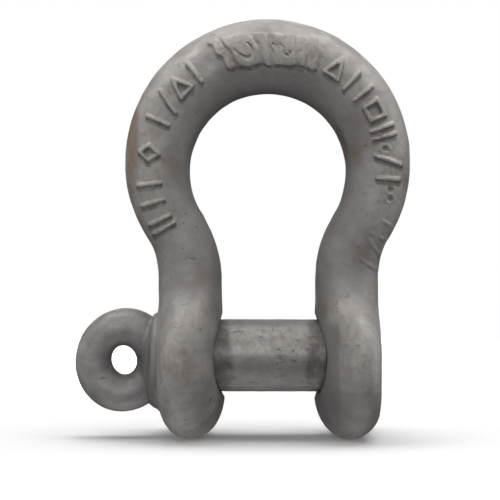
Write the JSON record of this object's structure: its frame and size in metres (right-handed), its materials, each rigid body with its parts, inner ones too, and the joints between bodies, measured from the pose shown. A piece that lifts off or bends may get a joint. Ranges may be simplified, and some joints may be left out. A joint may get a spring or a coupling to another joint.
{
  "type": "bow shackle",
  "caption": "Forged galvanised bow shackle: a round bow with a plain ear and a threaded ear, closed by a screw pin with a collar and an eye.",
  "frame": {"origin": "on the axis of the pin's shank, in the middle of the jaw", "axes": "+X along the pin from its eye to its threaded end, +Y to the back, +Z from the jaw to the crown"},
  "size_m": [0.12, 0.0562, 0.1503],
  "materials": {
    "galvanised_bow": "hot-dip galvanised forging, matte grey with brown staining",
    "galvanised_pin": "hot-dip galvanised forging, satin and lightly worn on the shank"
  },
  "bodies": {
    "bow": {"bow": "galvanised_bow"},
    "screw_pin": {"screw_pin": "galvanised_pin"}
  },
  "joints": [
    {"name": "pin_withdraw", "type": "slide", "parent": "bow", "child": "screw_pin", "axis": [-1, 0, 0], "range_m": [0, 0.06032]}
  ]
}
